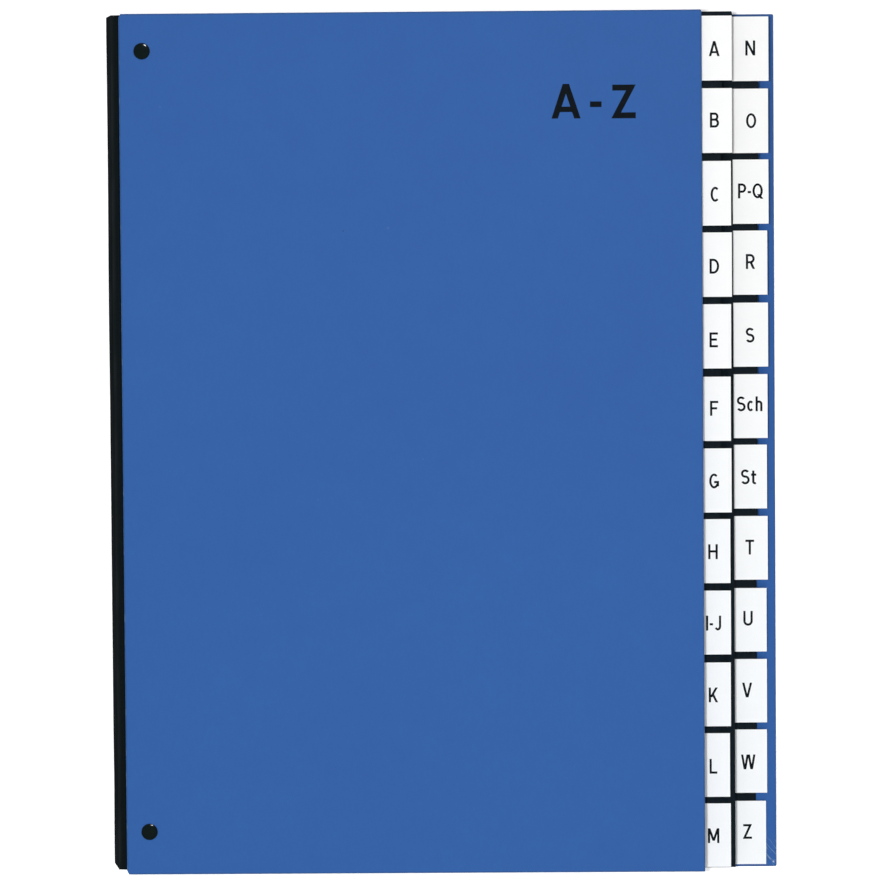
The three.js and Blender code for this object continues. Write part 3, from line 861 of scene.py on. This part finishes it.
def glyph(letter, w, s):
    """The bars and bows of one letter."""
    left, right, foot, top, mid = s / 2, w - s / 2, s / 2, 1 - s / 2, w / 2
    rx, ry = mid - s / 2, 0.5 - s / 2
    stem = upright_bar(left, 0, 1, s)
    if letter == "A":
        lean = slant_half(mid, 1, s)
        return [slant_bar(lean, 0, mid, 1, s), slant_bar(w - lean, 0, mid, 1, s),
                level_bar(0.2 * w, 0.8 * w, 0.265, 0.9 * s)]
    if letter == "B":
        turn, waist = 0.55 * w, 0.53
        upper, lower = (top - waist) / 2, (waist - foot) / 2
        return [stem, level_bar(0, turn, top, s), level_bar(0, turn, waist, s),
                level_bar(0, turn, foot, s),
                bow(turn, waist + upper, 0.93 * w - s / 2 - turn, upper, 90, -90, s),
                bow(turn, foot + lower, right - turn, lower, 90, -90, s)]
    if letter in "Cc":
        high = 1 if letter == "C" else LOWER_CASE
        return [bow(mid, high / 2, rx, high / 2 - s / 2, 48, 312, s)]
    if letter == "D":
        turn = 0.4 * w
        return [stem, level_bar(0, turn, top, s), level_bar(0, turn, foot, s),
                bow(turn, 0.5, right - turn, ry, 90, -90, s)]
    if letter == "E":
        return [stem, level_bar(0, w, top, s), level_bar(0, 0.88 * w, 0.52, s), level_bar(0, w, foot, s)]
    if letter == "F":
        return [stem, level_bar(0, w, top, s), level_bar(0, 0.86 * w, 0.5, s)]
    if letter == "G":
        return [bow(mid, 0.5, rx, ry, 48, 330, s), upright_bar(right, 0.14, 0.5, s),
                level_bar(mid, w, 0.5 - s / 2, s)]
    if letter == "H":
        return [stem, upright_bar(right, 0, 1, s), level_bar(0, w, 0.52, s)]
    if letter == "I":
        return [upright_bar(mid, 0, 1, s)]
    if letter == "J":
        return [upright_bar(right, 0.3, 1, s), bow(mid, 0.3, rx, 0.3 - s / 2, 0, -150, s)]
    if letter == "K":
        return [stem, slant_bar(left + 0.12 * w, 0.34, w - 0.75 * s, 1, s),
                slant_bar(w - 0.65 * s, 0, 0.42 * w, 0.56, s)]
    if letter == "L":
        return [stem, level_bar(0, w, foot, s)]
    if letter == "M":
        inner = left + 0.1 * s
        return [stem, upright_bar(right, 0, 1, s), slant_bar(mid, 0.16, inner, 1, s),
                slant_bar(mid, 0.16, w - inner, 1, s)]
    if letter == "N":
        return [stem, upright_bar(right, 0, 1, s), slant_bar(w - left, 0, left, 1, s)]
    if letter == "O":
        return [bow(mid, 0.5, rx, ry, 0, 180, s), bow(mid, 0.5, rx, ry, 180, 360, s)]
    if letter == "P":
        turn, loop = 0.5 * w, (top - 0.45) / 2
        return [stem, level_bar(0, turn, top, s), level_bar(0, turn, 0.45, s),
                bow(turn, 0.45 + loop, right - turn, loop, 90, -90, s)]
    if letter == "Q":
        return glyph("O", w, s) + [slant_bar(w - 0.35 * s, -0.03, 0.56 * w, 0.28, s)]
    if letter == "R":
        return glyph("P", 0.95 * w, s) + [slant_bar(w - 0.6 * s, 0, 0.52 * w, 0.45, s)]
    if letter == "S":
        upper, lower = (top - 0.52) / 2, (0.52 - foot) / 2
        return [bow(mid, 0.52 + upper, 0.94 * rx, upper, 32, 270, s),
                bow(mid, foot + lower, rx, lower, 90, -150, s)]
    if letter == "T":
        return [level_bar(0, w, top, s), upright_bar(mid, 0, 1, s)]
    if letter == "U":
        return [upright_bar(left, 0.32, 1, s), upright_bar(right, 0.32, 1, s),
                bow(mid, 0.32, rx, 0.32 - s / 2, 180, 360, s)]
    if letter == "V":
        lean = slant_half(mid, 1, s)
        return [slant_bar(mid - 0.1 * s, 0, lean, 1, s), slant_bar(mid + 0.1 * s, 0, w - lean, 1, s)]
    if letter == "W":
        half = glyph("V", 0.54 * w, s)
        return half + [[(x + 0.46 * w, y) for x, y in bar] for bar in half]
    if letter == "Z":
        lean = slant_half(w - 2 * s, 1, s)
        return [level_bar(0.04 * w, w - s, top, s), level_bar(s, w, foot, s),
                slant_bar(lean, 0, w - lean, 1, s)]
    if letter == "h":
        spring = LOWER_CASE - rx - s / 2
        return [stem, upright_bar(right, 0, spring, s), bow(mid, spring, rx, rx, 0, 180, s)]
    if letter == "t":
        post, turn = 0.42 * w, 0.14
        return [upright_bar(post, 0.16, 0.92, s), level_bar(0, w, LOWER_CASE - s / 2, s),
                bow(post + turn, 0.16, turn, 0.16 - s / 2, 180, 285, s)]
    return [level_bar(0, w, 0.42, s)]


def word_outlines(word, stroke, spacing):
    """The bars and bows of a word, and its width, in letter heights."""
    outlines, x = [], 0.0
    for letter in word:
        width = GLYPH_WIDTHS[letter]
        outlines += [[(x + px, py) for px, py in bar] for bar in glyph(letter, width, stroke)]
        x += width + spacing
    return outlines, x - spacing


def printed_shape(outlines, height, left, foot, z):
    """Overlapping outlines joined into one, as the points and faces of a thin closed solid.

    Each outline is turned counter-clockwise first, since the triangulation drops the others.
    """
    corners, loops = [], []
    for bar in outlines:
        twice_area = sum(ax * by - bx * ay for (ax, ay), (bx, by) in zip(bar, bar[1:] + bar[:1]))
        loops.append(list(range(len(corners), len(corners) + len(bar))))
        corners += [Vector(p) for p in (bar if twice_area > 0 else bar[::-1])]
    merged, _, triangles, _, _, sources = delaunay_2d_cdt(corners, [], loops, 1, JOIN_TOLERANCE)
    base = [(left + height * p.x, foot + height * p.y, z) for p in merged]
    count = len(base)
    faces = [tuple(t) for t, source in zip(triangles, sources) if source]
    edges = [edge for a, b, c in faces for edge in ((a, b), (b, c), (c, a))]
    shared = set(edges)
    points = [(x, y, h + INK_THICKNESS) for x, y, h in base] + base
    solid = faces + [tuple(count + i for i in face[::-1]) for face in faces]
    solid += [(b, a, count + a, count + b) for a, b in edges if (b, a) not in shared]
    return points, solid


def print_piece(name, shapes, body, material):
    """One printed piece from several shapes, riding on a body."""
    points, faces = [], []
    for shape_points, shape_faces in shapes:
        start = len(points)
        points += shape_points
        faces += [tuple(start + i for i in face) for face in shape_faces]
    piece = mesh_piece(name, points, faces, material)
    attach(piece, body)


def tab_word(card):
    """What a card's tab says: its own letters, from its name."""
    letters = card.removeprefix("divider_").split("_")
    return "-".join(part.capitalize() for part in letters)


# Where the letters are printed, in mm from the middle of the label: first for each column of tabs,
# then for the tabs that stray from that
COLUMN_PRINT_SHIFTS = ((0.25, -0.2), (0.0, 0.3))
STRAY_PRINTS = {
    "b": (0.0, 0.4), "c": (0.7, -0.2), "d": (0.0, -0.4), "e": (0.0, -1.2), "f": (0.3, 0.4),
    "l": (0.3, -0.3), "o": (0.45, -0.25), "r": (0.5, 0.15), "s": (0.0, -0.5), "sch": (0.0, 0.6),
    "st": (-0.2, -0.4), "u": (-0.25, 0.3), "v": (-0.75, 0.0), "w": (-0.35, -0.6), "z": (-0.3, 0.1),
}


def make_tab_letters(material):
    shapes = []
    for place, card in enumerate(CARDS):
        low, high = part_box(card.replace("divider", "label"))
        column = COLUMN_PRINT_SHIFTS[2 * place // len(CARDS)]
        shift = Vector(column) + Vector(STRAY_PRINTS.get(card.removeprefix("divider_"), (0, 0)))
        outlines, width = word_outlines(tab_word(card), TAB_STROKE, TAB_SPACING)
        middle = Vector(((low.x + high.x) / 2, high.y - TAB_HEIGHT / 2)) + shift * MM
        left = middle.x - width * TAB_CAP_HEIGHT / 2
        foot = middle.y - TAB_CAP_HEIGHT / 2
        shapes.append(printed_shape(outlines, TAB_CAP_HEIGHT, left, foot, high.z))
    print_piece("tab_letters", shapes, "leaves", material)


# The cover's range of letters, by the photograph's pixels: text, left, right, head and foot
COVER_PRINT = [
    ("A", 551.4, 580.5, 83.8, 118.6),
    ("-", 590, 601.5, 101.4, 107.1),
    ("Z", 611.5, 635.6, 84.5, 118.4),
]


def make_cover_letters(material):
    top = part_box("front_cover")[1].z
    shapes = []
    for text, left_px, right_px, head_px, foot_px in COVER_PRINT:
        foot_left = on_plane(left_px, foot_px, top)
        head_right = on_plane(right_px, head_px, top)
        width, height = head_right.x - foot_left.x, head_right.y - foot_left.y
        if text == "-":
            outlines = [level_bar(0, width / height, 0.5, 1)]
        else:
            outlines = glyph(text, width / height, COVER_STROKE)
        shapes.append(printed_shape(outlines, height, foot_left.x, foot_left.y, top))
    print_piece("cover_letters", shapes, "front", material)


def make_floor():
    """A pale floor just under the sorter, which only the renders show."""
    finish = Finish("pale_floor", roughness=0.9, specular=0.1)
    finish.colour(finish.mottled(FLOOR_WHITE, (finish.noise(size=0.5), 0.004)))
    finish.shader.inputs["Emission Color"].default_value = (1, 1, 1, 1)
    finish.shader.inputs["Emission Strength"].default_value = FLOOR_GLOW
    turns = ((-1, -1), (1, -1), (1, 1), (-1, 1))
    corners = [(x * FLOOR_REACH, y * FLOOR_REACH, -FLOOR_DROP) for x, y in turns]
    mesh_piece("floor", corners, [(0, 1, 2, 3)], finish.material)


make_camera()
make_light()
front = board_finish("cover_paper_front", "front_cover", -1, COVER_MARKS)
back = board_finish("cover_paper_back", "back_cover", 1)
scuffed_corner(back, "back_cover")
make_cover("front", front.material)
make_cover("back", back.material)
black_card = card_finish()
for card in CARDS:
    label = card.replace("divider", "label")
    coat(frame["nodes"][card], black_card)
    coat(frame["nodes"][label], label_finish(label))
make_spine(cloth_finish())
make_rivets(lacquer_finish())
ink = ink_finish()
make_tab_letters(ink)
make_cover_letters(ink)
make_floor()
